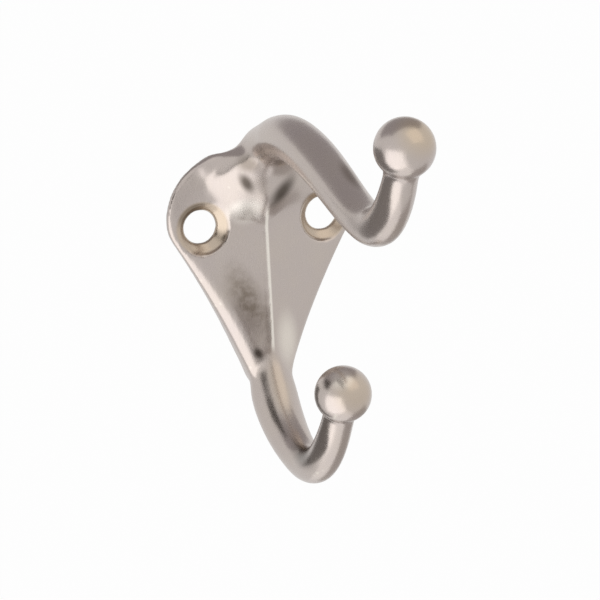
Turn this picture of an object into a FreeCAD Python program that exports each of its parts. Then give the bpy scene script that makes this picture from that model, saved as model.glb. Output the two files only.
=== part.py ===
import FreeCAD, Part
import math
import os

# Double robe hook, one cast piece. Millimetres and degrees.
# Z is up, the wall is the plane Y = 0, the arms reach out along -Y.
# The origin is on the wall, half way between the two screw holes.
# An "out" is a distance from the wall, an "up" a height above the screw holes.

# Back plate, seen from the front
plate_width = 31.8
plate_top = 13.4
widest_height = 1.15
shoulder_fullness = 0.84
hip_radius = 6.5
foot_drop = 24.6
foot_radius = 3.5
side_hollow = 5.3

# Screw holes
hole_margin = 5.5
hole_diameter = 5.4
sink_diameter = 8.5
sink_angle = 110.0
sink_step = 0.15

# Back plate, front face: two flat facets that meet in a ridge, inside a rolled border
edge_thickness = 1.3
edge_growth = 0.045
foot_lift = 1.6
ridge_height = 2.9
ridge_climb = 5.2
facet_fall = 4.5
border_width = 2.6
dome_width = 2.0

# Flare of the plate into the upper arm, and the web under the arm
flare_margin = 5.9
flare_foot = 0.0
flare_gap = 0.3
flare_slope = 0.7
flare_round = 1.8
flare_ease = 0.8
flare_reach = 8.5
throat_width = 5.6
throat_rise = 1.2
throat_lift = 1.4
throat_fade = 2.5
throat_climb = 0.35
web_slope = 0.8
web_round = 4.1
web_pinch = 0.8

# Rib down the middle of the plate
rib_radius = 0.45
rib_rise = 0.2
rib_top = 3.0
rib_foot_rise = 2.6

# Upper arm, centre line from the wall to the ball, heights from the plate's top
upper_root_out = -1.0
upper_root_drop = 3.1
upper_root_angle = 27.0
upper_root_radius = 3.6
upper_root_swell = 0.5
upper_root_fade = 2.5
upper_crest_out = 14.5
upper_crest_rise = 2.5
upper_crest_radius = 3.55
upper_bend_out = 44.3
upper_bend_drop = 4.0
upper_bend_radius = 2.95
upper_ball_out = 55.5
upper_ball_rise = 9.5
upper_stem_lean = 12.0
upper_stem_radius = 2.45
upper_pulls = (0.34, 0.34, 0.43, 0.27, 0.45, 0.67)

# Lower arm, centre line from inside the plate to the ball, heights from the foot's centre
lower_root_out = 3.3
lower_root_rise = 8.6
lower_root_radius = 1.0
lower_elbow_out = 4.9
lower_elbow_drop = 3.6
lower_elbow_angle = -55.0
lower_elbow_swell = 0.25
lower_bend_out = 18.6
lower_bend_drop = 10.6
lower_bend_radius = 2.95
lower_ball_out = 33.2
lower_ball_rise = 5.3
lower_stem_lean = 21.0
lower_stem_radius = 2.4
lower_pulls = (0.35, 0.4, 0.36, 0.36, 0.41, 0.62)

ball_radius = 4.33

half_width = plate_width / 2
lower_elbow_radius = foot_radius + lower_elbow_swell
flare_width = plate_width - 2 * flare_margin
flare_top = plate_top - dome_width - flare_gap
climb = math.tan(math.radians(ridge_climb))
fall = math.tan(math.radians(facet_fall))
beyond = plate_width + plate_top + foot_drop


def spot(x, out, up):
    return FreeCAD.Vector(x, -out, up)


def polar(x, up, radius, angle):
    turn = math.radians(angle)
    return spot(x + radius * math.cos(turn), 0, up + radius * math.sin(turn))


def arc(x, up, radius, start, end):
    middle = (start + end) / 2
    ends = [polar(x, up, radius, angle) for angle in (start, middle, end)]
    return Part.Arc(*ends).toShape()


def side_curve(top, top_lean, foot, foot_lean):
    pull = top.distanceToPoint(foot) / 3
    leans = [math.radians(top_lean), math.radians(foot_lean)]
    leave, arrive = [spot(math.sin(lean), 0, -math.cos(lean)) for lean in leans]
    curve = Part.BezierCurve()
    curve.setPoles([top, top + leave * pull, foot - arrive * pull, foot])
    return curve.toShape()


# Left half of the outline, from the top centre round to the foot centre
def half_outline():
    shoulder = shoulder_fullness * (plate_top - widest_height)
    inset = half_width - shoulder
    drop = widest_height - plate_top
    crown = (shoulder ** 2 - inset ** 2 - drop ** 2) / (2 * (drop + shoulder))
    crown_up = plate_top - crown
    meet = math.degrees(math.atan2(widest_height - crown_up, -inset))
    hip_x = hip_radius - half_width
    height = widest_height + foot_drop
    span = math.hypot(hip_x, height)
    lean = math.atan2(-hip_x, height) + math.asin((hip_radius - foot_radius) / span)
    lean = math.degrees(lean)
    hip_end = 180 + lean + side_hollow
    foot_start = 180 + lean - side_hollow
    hip_spot = polar(hip_x, widest_height, hip_radius, hip_end)
    foot_spot = polar(0, -foot_drop, foot_radius, foot_start)
    return [
        arc(0, crown_up, crown, 90, meet),
        arc(-inset, widest_height, shoulder, meet, 180),
        arc(hip_x, widest_height, hip_radius, 180, hip_end),
        side_curve(hip_spot, hip_end - 180, foot_spot, foot_start - 180),
        arc(0, -foot_drop, foot_radius, foot_start, 270),
    ]


def facet_height(x, up):
    return ridge_height - up * climb - abs(x) * fall


def edge_height(up):
    below = max(0, -up)
    return edge_thickness + edge_growth * below + foot_lift * (below / foot_drop) ** 8


def band_width(up):
    if up < -foot_drop:
        return min(border_width, 0.7 * foot_radius)
    rise = max(0, up / plate_top)
    return border_width + (dome_width - border_width) * rise ** 2


# One line across the rolled border, from the rim in to the flat facet
def border_row(rim, heading):
    inward = FreeCAD.Vector(-heading.z, 0, heading.x)
    width = band_width(rim.z)
    edge = edge_height(rim.z)
    row = []
    for step in range(7):
        turn = math.radians(step * 15)
        place = rim + inward * (width * (1 - math.cos(turn)))
        rise = facet_height(place.x, place.z) - edge
        row.append(spot(place.x, edge + rise * math.sin(turn), place.z))
    return row


def border_surface():
    rows = []
    for edge in half_outline():
        first, last = edge.ParameterRange
        count = max(3, round(edge.Length / 2))
        for step in range(count):
            place = first + (last - first) * step / count
            rows.append(border_row(edge.valueAt(place), edge.tangentAt(place)))
    rows.append(border_row(edge.valueAt(last), edge.tangentAt(last)))
    surface = Part.BSplineSurface()
    surface.interpolate(rows)
    return surface


# Left half of one line round the flare, top to bottom; share falls from 1 at its foot
def flare_row(share, last):
    spread = (flare_width - throat_width) / 2
    inward = spread * (1 - share)
    rise = flare_slope * (math.hypot(inward, flare_round) - flare_round)
    rise += throat_rise * (share - 1 - math.log(share))
    side = throat_width / 2 + spread * share
    low = flare_foot + math.sqrt((rise / web_slope + web_round) ** 2 - web_round ** 2)
    high = flare_top + throat_lift * (1 - math.exp(-rise / throat_fade)) + throat_climb * rise
    middle = (high + low) / 2
    pinch = web_pinch * (1 - share ** 3)
    ease = (share - last) / (1 - last)
    row = []
    for step in range(13):
        turn = math.radians(step * 15)
        crown = max(0, math.cos(turn))
        waist = min(0, math.cos(turn))
        x = -side * math.sin(turn) * (1 - pinch * waist ** 2)
        up = middle + (middle - low) * math.cos(turn)
        height = rise * (1 - flare_ease * crown ** 2 * math.sqrt(ease))
        row.append(spot(x, facet_height(x * ease, up) + height, up))
    row[0].x = 0
    row[-1].x = 0
    return row


# The lines crowd together towards the throat, where the flare is steepest
def flare_surface():
    spread = (flare_width - throat_width) / 2
    cone = flare_slope * (math.hypot(spread, flare_round) - flare_round)
    last = math.exp((cone - flare_reach) / throat_rise - 1)
    shares = [last ** (step / 15) for step in range(16)]
    surface = Part.BSplineSurface()
    surface.interpolate([flare_row(share, last) for share in shares])
    return surface


def mirrored(shape):
    return shape.mirror(FreeCAD.Vector(0, 0, 0), FreeCAD.Vector(1, 0, 0))


def joined(start, end):
    return Part.LineSegment(start, end).toShape()


# The plate and its flare are one shell: border, facets, flare, rim wall and back
def back_plate():
    border = border_surface()
    rim, inner = [border.vIso(value).toShape() for value in border.bounds()[2:]]
    flare = flare_surface()
    foot, mouth = [flare.uIso(value).toShape() for value in flare.bounds()[:2]]
    inner_top, foot_top, mouth_top = [edge.firstVertex().Point for edge in (inner, foot, mouth)]
    inner_low, foot_low, mouth_low = [edge.lastVertex().Point for edge in (inner, foot, mouth)]
    ridges = [joined(inner_top, foot_top), joined(foot_low, inner_low)]
    facet = Part.Face(Part.Wire(Part.__sortEdges__([inner, foot] + ridges)))
    cap = Part.Face(Part.Wire([mouth, joined(mouth_top, mouth_low)]))
    flat = FreeCAD.Matrix(1, 0, 0, 0, 0, 0, 0, 0, 0, 0, 1, 0)
    foot_line = rim.transformGeometry(flat)
    wall = Part.makeRuledSurface(rim, foot_line)
    half = [border.toShape(), facet, flare.toShape(), cap, wall]
    back = Part.Face(Part.Wire([foot_line, mirrored(foot_line)]))
    shell = Part.Shell(half + [mirrored(face) for face in half] + [back])
    shell.sewShape()
    return Part.Solid(shell)


# One bend of an arm as a Bezier curve; the X of a pole carries the arm's radius
def bow(start, start_angle, start_pull, end, end_angle, end_pull):
    first, last = spot(*start), spot(*end)
    turns = [math.radians(start_angle), math.radians(end_angle)]
    leave, arrive = [spot(0, math.cos(turn), math.sin(turn)) for turn in turns]
    curve = Part.BezierCurve()
    curve.setPoles([first, first + leave * start_pull, last - arrive * end_pull, last])
    return curve


def upper_path():
    root = (upper_root_radius, upper_root_out, plate_top - upper_root_drop)
    crest = (upper_crest_radius, upper_crest_out, plate_top + upper_crest_rise)
    bend = (upper_bend_radius, upper_bend_out, plate_top - upper_bend_drop)
    ball = (upper_stem_radius, upper_ball_out, plate_top + upper_ball_rise)
    spans = (upper_crest_out, upper_bend_out - upper_crest_out, upper_ball_out - upper_bend_out)
    pulls = [pull * spans[place // 2] for place, pull in enumerate(upper_pulls)]
    return [
        bow(root, upper_root_angle, pulls[0], crest, 0, pulls[1]),
        bow(crest, 0, pulls[2], bend, 0, pulls[3]),
        bow(bend, 0, pulls[4], ball, 90 - upper_stem_lean, pulls[5]),
    ]


def lower_path():
    root = (lower_root_radius, lower_root_out, lower_root_rise - foot_drop)
    elbow = (lower_elbow_radius, lower_elbow_out, -foot_drop - lower_elbow_drop)
    bend = (lower_bend_radius, lower_bend_out, -foot_drop - lower_bend_drop)
    ball = (lower_stem_radius, lower_ball_out, lower_ball_rise - foot_drop)
    drop = lower_root_rise + lower_elbow_drop
    spans = (drop, lower_bend_out - lower_elbow_out, lower_ball_out - lower_bend_out)
    pulls = [pull * spans[place // 2] for place, pull in enumerate(lower_pulls)]
    return [
        bow(root, -90, pulls[0], elbow, lower_elbow_angle, pulls[1]),
        bow(elbow, lower_elbow_angle, pulls[2], bend, 0, pulls[3]),
        bow(bend, 0, pulls[4], ball, 90 - lower_stem_lean, pulls[5]),
    ]


def ring_on(curve, share, swell):
    here = curve.value(share)
    along = curve.getD1(share)[1]
    along.x = 0
    across = FreeCAD.Vector(1, 0, 0)
    turn = FreeCAD.Rotation(across, along.cross(across), along, "XYZ")
    ring = Part.makeCircle(here.x + swell * math.exp(here.y / upper_root_fade))
    ring.Placement = FreeCAD.Placement(FreeCAD.Vector(0, here.y, here.z), turn)
    return Part.Wire(ring)


def arm(path, steps, swell):
    rings = []
    for curve, count in zip(path, steps):
        for step in range(count):
            rings.append(ring_on(curve, step / count, swell))
    rings.append(ring_on(path[-1], 1, swell))
    return Part.makeLoft(rings, True, False)


def ball(path):
    end = path[-1].value(1)
    return Part.makeSphere(ball_radius, FreeCAD.Vector(0, end.y, end.z))


# A round bead along the ridge, from the web down into the lower arm's root
def rib():
    low = rib_foot_rise - foot_drop
    top = spot(0, facet_height(0, rib_top) + rib_rise - rib_radius, rib_top)
    foot = spot(0, facet_height(0, low) + rib_rise - rib_radius, low)
    return Part.makeCylinder(rib_radius, top.distanceToPoint(foot), top, foot - top)


def screw_hole(x):
    radius = hole_diameter / 2
    mouth = sink_diameter / 2
    depth = (mouth - radius) / math.tan(math.radians(sink_angle / 2))
    rim = facet_height(x, 0) - sink_step
    outward = FreeCAD.Vector(0, -1, 0)
    bore = Part.makeCylinder(radius, beyond, spot(x, -beyond / 2, 0), outward)
    cone = Part.makeCone(radius, mouth, depth, spot(x, rim - depth, 0), outward)
    well = Part.makeCylinder(mouth, beyond, spot(x, rim, 0), outward)
    return bore.multiFuse([cone, well])


def robe_hook():
    upper = upper_path()
    lower = lower_path()
    pieces = [
        rib(),
        arm(upper, (8, 8, 6), upper_root_swell),
        arm(lower, (5, 5, 6), 0),
        ball(upper),
        ball(lower),
    ]
    body = back_plate().multiFuse(pieces)
    corner = FreeCAD.Vector(-beyond, 0, -beyond)
    body = body.cut(Part.makeBox(2 * beyond, beyond, 2 * beyond, corner))
    for side in (-1, 1):
        body = body.cut(screw_hole(side * (half_width - hole_margin)))
    return body.removeSplitter()


os.makedirs("parts", exist_ok=True)
robe_hook().exportStep("parts/robe_hook.step")
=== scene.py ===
import bpy
import math
from mathutils import Matrix, Vector


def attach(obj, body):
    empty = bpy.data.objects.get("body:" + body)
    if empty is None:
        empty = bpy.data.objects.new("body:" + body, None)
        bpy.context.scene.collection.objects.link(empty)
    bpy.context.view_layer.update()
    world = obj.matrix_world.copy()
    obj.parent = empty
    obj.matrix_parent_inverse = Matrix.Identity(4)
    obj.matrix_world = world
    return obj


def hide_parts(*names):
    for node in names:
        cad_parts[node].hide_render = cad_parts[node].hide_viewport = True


# Double robe hook in satin nickel plate, in metres. Z is up, the wall is the plane Y = 0.
# The tables are in millimetres and degrees, unless they say otherwise.

MM = 0.001

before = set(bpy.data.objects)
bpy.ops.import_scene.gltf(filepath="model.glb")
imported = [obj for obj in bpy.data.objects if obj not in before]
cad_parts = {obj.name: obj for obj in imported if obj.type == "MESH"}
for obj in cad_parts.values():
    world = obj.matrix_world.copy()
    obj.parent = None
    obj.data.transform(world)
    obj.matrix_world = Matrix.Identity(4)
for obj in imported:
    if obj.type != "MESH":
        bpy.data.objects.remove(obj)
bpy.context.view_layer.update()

# Skin of the casting: gap that is joined, width of a voxel, passes that rub each skin smooth
WELD_GAP = 0.002
SKIN_VOXEL = 0.25
SKIN_RUBS = 4

# Fills round the upper arm's root: centre, half sizes, how far they stand out.
# Those in a group are made on both sides of the web.
WEB_FILL = ((0, -4.0, 3.5), (2.4, 4.0, 4.5), 1.1)
SHOULDER_FILLS = (
    ((5.4, -2.8, 11.2), (3.6, 5.0, 3.2), 1.3),
    ((8.2, -2.6, 9.6), (3.6, 4.0, 3.2), 1.0),
    ((3.4, -4.0, 4.8), (5.6, 4.5, 4.6), 0.9),
)
CROWN_FILLS = (
    ((4.6, -2.6, 11.4), (2.8, 3.2, 2.2), 1.9),
    ((4.3, -3.6, 11.8), (1.8, 2.6, 1.8), 0.8),
)

# Joints rubbed soft: name, centre, radius with full effect, radius where it ends, passes
ROOT_RUB = ("upper root", (0, -4.0, 9), 6.5, 10.5, 120)
LAST_RUBS = (
    ("crown", (0, -3.0, 11), 6, 9, 140),
    ("dish", (-5.0, -3.4, 4.6), 2.6, 4.6, 40),
    ("dish", (5.0, -3.4, 4.6), 2.6, 4.6, 40),
    ("lower root", (0, -5, -25), 4, 8, 50),
    ("upper neck", (0, -54.8, 19.4), 2.5, 4.5, 40),
)

# A patch on the metal: centre, how far it reaches along each axis (0 is without end),
# the share of that where it is full, and how far it leans from upright
HOLLOW = ((-3.6, -3, -12.3), (3.4, 12, 9), 0.15, -24)
LEFT_SINK = ((-10.4, 0, 0), (4.5, 0, 4.5), 0.87)
RIGHT_SINK = ((10.4, 0, 0), (4.5, 0, 4.5), 0.87)

# Painted shade, highlights and reflections, with a few stains, laid on in this order: shade,
# strength, and the patch, or the patches whose overlap it covers
PAINTED_LIGHT_AND_STAINS = (
    # Painted shade in the corners under the upper arm and beside the lower one
    ("#453D35", 0.88, ((-3.9, -5, 7.3), (1.3, 12, 2.8), 0.15, -30)),
    ("#453D35", 0.88, ((2.1, -6, 5.3), (2.1, 12, 4.4), 0.15, 44)),
    ("#453D35", 0.88, ((-2.5, -4, -21), (1.1, 12, 1.6), 0.15, -30)),
    # Painted highlights on the foot of the right facet and on the dish beside the web
    ("#E4DDD2", 0.65, ((2.6, -3.5, -19.5), (2.6, 4, 6.5), 0.2)),
    ("#EFEAE2", 0.55, ((-3.4, 0, 2.4), (3.8, 0, 2.8))),
    # Painted grey shade under the upper arm's root, dimming its highlight
    ("#7E746B", 0.8, ((-3.6, -5.6, 10.6), (3.2, 2.8, 2.2), 0.2)),
    # Painted highlight along the ridge, a thin bright line
    ("#E9E3DA", 0.85, ((0, -3.5, -9.5), (0.4, 0, 0), 0.25), ((0, -3.5, -9.5), (0, 3.5, 13), 0.85)),
    # Painted warm reflection in the countersinks, on the balls and down the front of the lower arm
    ("#B8A488", 0.5, LEFT_SINK),
    ("#B8A488", 0.5, RIGHT_SINK),
    ("#BCA98C", 0.5, ((1.0, -58.5, 25.5), (4.5, 4.5, 4.5))),
    ("#BCA98C", 0.4, ((0.5, -36.5, -18.0), (4.5, 4.5, 4.5))),
    ("#B5A48C", 0.35, ((-0.2, -8.0, -26.0), (2.2, 8, 9))),
    # A painted highlight on the lower ball
    ("#EDE6DC", 0.5, ((-1.3, -35.6, -15.8), (2.4, 2.4, 2.4))),
    # A brown patch on top of the upper arm, and painted shade inside the lower bend
    ("#6B5C4E", 0.6, ((0.9, -35.0, 14.6), (1.7, 6.5, 2.4), 0.2)),
    ("#544C46", 0.8, ((-1.9, -21.8, -31.8), (2.5, 6.6, 3.2))),
    # Painted shade in the upper left of the left countersink
    ("#6E6254", 0.7, LEFT_SINK, ((-12.9, 0, 2.9), (4.0, 0, 3.4))),
    # Painted dark reflection along the rim by the wall, strongest on the left: a thin dark outline
    ("#6B6058", 0.7, ((-14, 0, 0), (26, 1.0, 0))),
    # The back lies on the wall and is left as cast, plain and duller
    ("#A39D97", 1.0, ((0, 0, 0), (0, 0.3, 0))),
)

# Strength of the light in the room; the paper floor's size and depth in metres, and how much
# of what it shows is its own white
ROOM_LIGHT = 0.6
FLOOR_SIZE = 24
FLOOR_DROP = 0.9
FLOOR_PAPER = 0.97

# Soft boxes: azimuth, elevation, distance, width and height in metres, radiance, tint
SOFT_BOXES = (
    ("key", -59, -30, 0.5, 0.68, 0.65, 1.0, "#FFFFFF"),
    ("low", -40, -84, 0.6, 0.6, 0.6, 0.35, "#FFFFFF"),
    ("fill", 32, 48, 0.6, 0.5, 0.5, 0.3, "#FFEFD8"),
)

# Camera of the photograph, solved from the hook's outline and its screw holes.
# Lengths are in pixels of the picture, the pixel itself in millimetres at the hook.
CAMERA_LEFT = 22.0
CAMERA_LIFT = 16.62
CAMERA_ROLL = -1.0
PICTURE = 600
PIXEL = 0.16
CAMERA_AWAY = 2290
ORIGIN_ACROSS = 259.61
ORIGIN_DOWN = 218.68


# The linear colour that an sRGB hex code stands for
def linear(code):
    parts = [int(code[place:place + 2], 16) / 255 for place in (1, 3, 5)]
    curve = [part / 12.92 if part <= 0.04045 else ((part + 0.055) / 1.055) ** 2.4 for part in parts]
    return (*curve, 1.0)


def metres(parts):
    return Vector(parts) * MM


# A direction seen from the hook: azimuth 0 is in front of the wall, 90 to its right
def toward(azimuth, elevation):
    turn, lift = math.radians(azimuth), math.radians(elevation)
    return Vector((math.sin(turn) * math.cos(lift), -math.cos(turn) * math.cos(lift), math.sin(lift)))


def add_node(tree, kind, values=None, inputs=None):
    node = tree.nodes.new(kind)
    for name, value in (values or {}).items():
        setattr(node, name, value)
    for name, value in (inputs or {}).items():
        if isinstance(value, bpy.types.NodeSocket):
            tree.links.new(value, node.inputs[name])
        else:
            node.inputs[name].default_value = value
    return node


# A mask that is 1 near the patch's centre and fades to 0 at its reach
def near(tree, place, centre, reach, full=0.3, lean=0):
    spot = add_node(tree, "ShaderNodeMapping", {"vector_type": "TEXTURE"}, {
        "Vector": place, "Location": metres(centre), "Rotation": (0, math.radians(lean), 0),
        "Scale": metres(reach)})
    far = add_node(tree, "ShaderNodeVectorMath", {"operation": "LENGTH"}, {0: spot.outputs[0]})
    return add_node(tree, "ShaderNodeMapRange", {"interpolation_type": "SMOOTHSTEP"}, {
        "Value": far.outputs["Value"], "From Min": full, "From Max": 1,
        "To Min": 1, "To Max": 0}).outputs[0]


# Inputs 6 and 7 of a mix are its two colours
def laid_over(tree, tone, shade, share):
    return add_node(tree, "ShaderNodeMix", {"data_type": "RGBA"},
                    {0: share, 6: tone, 7: linear(shade)}).outputs[2]


# Lays painted light or a stain where all its masks overlap
def lay_painted_light_or_stain(tree, tone, shade, strength, masks):
    share = strength
    for mask in masks:
        both = add_node(tree, "ShaderNodeMath", {"operation": "MULTIPLY"}, {0: mask, 1: share})
        share = both.outputs[0]
    return laid_over(tree, tone, shade, share)


# Satin nickel plate on a die-cast body, brushed by hand before plating.
# The plate is warm grey with a soft, wide gloss. Handling polishes its edges.
# Painted on it are a dark, mottled reflection on the facet beside the ridge and a warm reflection in the
# holes.
def satin_nickel():
    material = bpy.data.materials.new("satin nickel plate")
    material.use_nodes = True
    tree = material.node_tree
    shader = tree.nodes["Principled BSDF"]
    place = add_node(tree, "ShaderNodeTexCoord").outputs["Object"]

    # Clouding of the bath, in patches 5 mm wide
    cloud = add_node(tree, "ShaderNodeTexNoise",
                     inputs={"Vector": place, "Scale": 1 / (5 * MM), "Detail": 3.0})
    tone = laid_over(tree, linear("#BBB1A8"), "#B6ACA9", cloud.outputs[0])

    # Edges and corners rubbed bright by handling
    crest = add_node(tree, "ShaderNodeNewGeometry").outputs["Pointiness"]
    worn = add_node(tree, "ShaderNodeMapRange", inputs={
        "Value": crest, "From Min": 0.55, "From Max": 0.7, "To Min": 0, "To Max": 0.6})
    tone = laid_over(tree, tone, "#CDC6BC", worn.outputs[0])

    # Painted dark reflection on the facet beside the ridge, mottled in spots 1.1 mm wide
    mottle = add_node(tree, "ShaderNodeTexNoise",
                      inputs={"Vector": place, "Scale": 1 / (1.1 * MM), "Detail": 3.0})
    patchy = add_node(tree, "ShaderNodeMapRange", inputs={
        "Value": mottle.outputs[0], "From Min": 0.3, "From Max": 0.6, "To Min": 0.45, "To Max": 1})
    tone = lay_painted_light_or_stain(tree, tone, "#7A6E62", 0.8, [near(tree, place, *HOLLOW), patchy.outputs[0]])

    # Painted shade, highlights, reflections and stains from the table
    for shade, strength, *patches in PAINTED_LIGHT_AND_STAINS:
        masks = [near(tree, place, *patch) for patch in patches]
        tone = lay_painted_light_or_stain(tree, tone, shade, strength, masks)

    # Brush marks, drawn 0.3 mm wide and 2 mm long, twice as coarse as real ones.
    # They break up the gloss and lie 0.05 mm deep at most.
    lay = add_node(tree, "ShaderNodeMapping", inputs={"Vector": place, "Scale": (1, 1, 0.15)})
    brush = add_node(tree, "ShaderNodeTexNoise", inputs={
        "Vector": lay.outputs[0], "Scale": 1 / (0.3 * MM), "Detail": 4.0, "Roughness": 0.6}).outputs[0]
    gloss = add_node(tree, "ShaderNodeMapRange", inputs={
        "Value": brush, "From Min": 0.3, "From Max": 0.7, "To Min": 0.25, "To Max": 0.31})
    grain = add_node(tree, "ShaderNodeBump",
                     inputs={"Height": brush, "Strength": 0.05, "Distance": 0.05 * MM})

    shader.inputs["Metallic"].default_value = 1.0
    tree.links.new(tone, shader.inputs["Base Color"])
    tree.links.new(gloss.outputs[0], shader.inputs["Roughness"])
    tree.links.new(grain.outputs[0], shader.inputs["Normal"])
    return material


# A copy of the CAD mesh, active and alone in the selection, with its doubled corners joined
def cad_copy(node, name):
    bpy.ops.object.select_all(action="DESELECT")
    body = bpy.data.objects.new(name, node.data.copy())
    bpy.context.collection.objects.link(body)
    bpy.context.view_layer.objects.active = body
    body.select_set(True)
    body.data.materials.clear()
    bpy.ops.object.mode_set(mode="EDIT")
    bpy.ops.mesh.select_all(action="SELECT")
    bpy.ops.mesh.remove_doubles(threshold=WELD_GAP * MM)
    bpy.ops.object.mode_set(mode="OBJECT")
    return body


# Gives the body an even skin of small faces, rubbed smooth
def even_skin(body):
    skin = body.modifiers.new("even skin", "REMESH")
    skin.mode = "VOXEL"
    skin.voxel_size = SKIN_VOXEL * MM
    skin.use_smooth_shade = True
    bpy.ops.object.modifier_apply(modifier=skin.name)
    rub = body.modifiers.new("rub", "SMOOTH")
    rub.iterations = SKIN_RUBS
    bpy.ops.object.modifier_apply(modifier=rub.name)


# Presses the skin out from the wall, most at the centre of an egg of these half sizes
def swell(body, centre, size, amount):
    for vertex in body.data.vertices:
        gap = [(vertex.co[axis] / MM - centre[axis]) / size[axis] for axis in range(3)]
        share = 1 - sum(part * part for part in gap)
        if share > 0:
            vertex.co.y -= amount * share * share * MM


def swell_both_sides(body, fills):
    for side in (-1, 1):
        for (x, y, z), size, amount in fills:
            swell(body, (side * x, y, z), size, amount)


# Marks the vertices round a centre, in full as far as the inner radius and fading to the outer
def weigh(body, name, centre, inner, outer):
    group = body.vertex_groups.new(name=name)
    middle = metres(centre)
    for vertex in body.data.vertices:
        gap = (vertex.co - middle).length / MM
        if gap < outer:
            share = min(1, (outer - gap) / (outer - inner))
            group.add([vertex.index], share * share * (3 - 2 * share), "REPLACE")
    return group


# Rubs the skin soft round a centre
def soften(body, name, centre, inner, outer, passes):
    rub = body.modifiers.new(name, "SMOOTH")
    rub.vertex_group = weigh(body, name, centre, inner, outer).name
    rub.factor = 0.5
    rub.iterations = passes
    bpy.ops.object.modifier_apply(modifier=rub.name)


# The hook is one casting: the CAD solid gets an even skin, and its joints are filled and rubbed soft
def cast_body(node):
    body = cad_copy(node, "cast_hook")
    even_skin(body)
    swell(body, *WEB_FILL)
    swell_both_sides(body, SHOULDER_FILLS)
    soften(body, *ROOT_RUB)
    swell_both_sides(body, CROWN_FILLS)
    even_skin(body)
    for rub in LAST_RUBS:
        soften(body, *rub)
    return body


# 1 for the rays that show the studio: those of the camera, and of reflection and refraction
def studio_ray(tree):
    path = add_node(tree, "ShaderNodeLightPath")
    shiny = add_node(tree, "ShaderNodeMath", {"operation": "MAXIMUM"},
                     {0: path.outputs["Is Glossy Ray"], 1: path.outputs["Is Transmission Ray"]})
    return add_node(tree, "ShaderNodeMath", {"operation": "MAXIMUM"},
                    {0: path.outputs["Is Camera Ray"], 1: shiny.outputs[0]}).outputs[0]


# A white paper backdrop all round, which lights matt things a little less than it shows
def studio_world():
    world = bpy.data.worlds.new("studio")
    bpy.context.scene.world = world
    world.use_nodes = True
    tree = world.node_tree
    tree.nodes.clear()
    room = add_node(tree, "ShaderNodeBackground", inputs={"Color": (1, 1, 1, 1), "Strength": ROOM_LIGHT})
    paper = add_node(tree, "ShaderNodeBackground", inputs={"Color": (1, 1, 1, 1), "Strength": 1.0})
    seen = add_node(tree, "ShaderNodeMixShader",
                    inputs={0: studio_ray(tree), 1: room.outputs[0], 2: paper.outputs[0]})
    add_node(tree, "ShaderNodeOutputWorld", inputs={"Surface": seen.outputs[0]})


# The paper on the floor is nearly all its own white, so that the hook's shadow stays faint
def pale_floor():
    bpy.ops.object.select_all(action="DESELECT")
    bpy.ops.mesh.primitive_plane_add(size=FLOOR_SIZE, location=(0, 0, -FLOOR_DROP))
    floor = bpy.context.object
    floor.name = "floor"
    material = bpy.data.materials.new("white paper floor")
    material.use_nodes = True
    tree = material.node_tree
    tree.nodes.clear()
    matt = add_node(tree, "ShaderNodeBsdfDiffuse", inputs={"Color": linear("#F2F2F2")})
    paper = add_node(tree, "ShaderNodeEmission", inputs={"Color": (1, 1, 1, 1), "Strength": 1.0})
    share = add_node(tree, "ShaderNodeMath", {"operation": "MULTIPLY"}, {0: studio_ray(tree), 1: FLOOR_PAPER})
    seen = add_node(tree, "ShaderNodeMixShader",
                    inputs={0: share.outputs[0], 1: matt.outputs[0], 2: paper.outputs[0]})
    add_node(tree, "ShaderNodeOutputMaterial", inputs={"Surface": seen.outputs[0]})
    floor.data.materials.append(material)


# A soft box, so much brighter than the white paper behind it
def soft_box(name, azimuth, elevation, distance, width, height, radiance, tint):
    light = bpy.data.lights.new(name, "AREA")
    light.shape = "RECTANGLE"
    light.size = width
    light.size_y = height
    light.color = linear(tint)[:3]
    light.energy = radiance * math.pi * width * height
    lamp = bpy.data.objects.new(name, light)
    bpy.context.collection.objects.link(lamp)
    heading = toward(azimuth, elevation)
    lamp.location = heading * distance
    lamp.rotation_euler = heading.to_track_quat("Z", "Y").to_euler()


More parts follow.
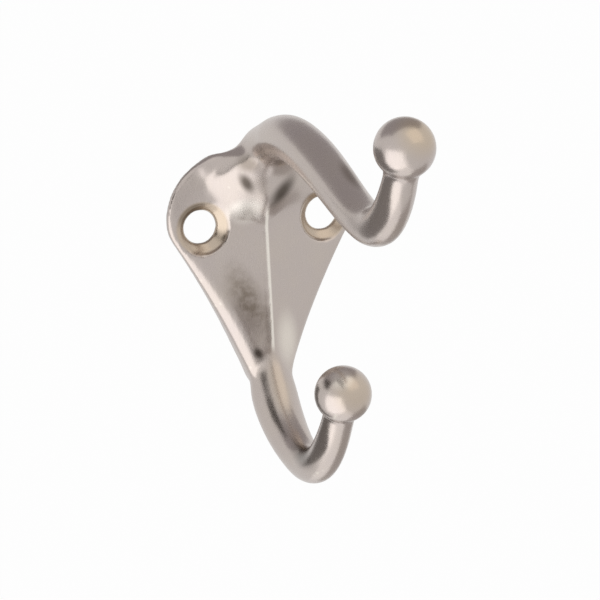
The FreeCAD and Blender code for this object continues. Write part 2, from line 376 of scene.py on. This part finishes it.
# Dark cards out of the camera's sight give the polished metal its dark bands
def dark_card(name, place, facing, width, height, shade):
    bpy.ops.object.select_all(action="DESELECT")
    bpy.ops.mesh.primitive_plane_add(size=1)
    card = bpy.context.object
    card.name = name
    card.scale = (width * MM, height * MM, 1)
    card.rotation_euler = facing.to_track_quat("Z", "Y").to_euler()
    card.location = place
    material = bpy.data.materials.new("dark card")
    material.use_nodes = True
    tree = material.node_tree
    tree.nodes.clear()
    glow = add_node(tree, "ShaderNodeEmission", inputs={"Color": linear(shade), "Strength": 1.0})
    add_node(tree, "ShaderNodeOutputMaterial", inputs={"Surface": glow.outputs[0]})
    card.data.materials.append(material)
    card.visible_camera = False
    card.visible_diffuse = False
    card.visible_shadow = False


# The camera of the photograph: in front, to the left and a little above
def photo_camera():
    left, roll = math.radians(CAMERA_LEFT), math.radians(CAMERA_ROLL)
    level = Vector((math.cos(left), -math.sin(left), 0))
    back = toward(-CAMERA_LEFT, CAMERA_LIFT)
    upright = back.cross(level)
    right = level * math.cos(roll) + upright * math.sin(roll)
    up = upright * math.cos(roll) - level * math.sin(roll)
    aside = right * (PICTURE / 2 - ORIGIN_ACROSS) - up * (PICTURE / 2 - ORIGIN_DOWN)
    place = (back * CAMERA_AWAY + aside) * PIXEL * MM
    camera = bpy.data.objects.new("camera", bpy.data.cameras.new("camera"))
    bpy.context.collection.objects.link(camera)
    camera.matrix_world = Matrix.Translation(place) @ Matrix((right, up, back)).transposed().to_4x4()
    camera.data.sensor_width = 36
    camera.data.lens = camera.data.sensor_width * CAMERA_AWAY / PICTURE
    camera.data.clip_start = 0.01
    bpy.context.scene.camera = camera


# Cards: place in metres, the way its front faces, width and height in millimetres, shade
CARDS = (
    # Left of the crown and level with it, for the dark band down the upper arm
    ("band card", metres((-57.5, -12.5, 14)), Vector((0, 0, 1)), 55, 41, "#4A4643"),
    # High behind the hook and low to its right, for the greys of the upper and right sides
    ("rear card", toward(180, 60) * 0.5, toward(180, 60), 1100, 700, "#B7B3B5"),
    ("right card", toward(105, -56) * 0.5, toward(105, -56), 500, 340, "#C8C3C0"),
    # Close to the left of each bend, for its shaded inner side
    ("bend card", metres((-8, -46, 9)), Vector((1, 0, 0)), 20, 26, "#949190"),
    ("low bend card", metres((-6, -24.7, -26.7)), Vector((1, 0, 0)), 13.6, 18.6, "#827F7D"),
)

hook = cast_body(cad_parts["robe_hook"])
hook.data.materials.append(satin_nickel())
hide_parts("robe_hook")
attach(hook, "root")

studio_world()
pale_floor()
for box in SOFT_BOXES:
    soft_box(*box)
for card in CARDS:
    dark_card(*card)
photo_camera()

bpy.context.scene.view_settings.view_transform = "Standard"
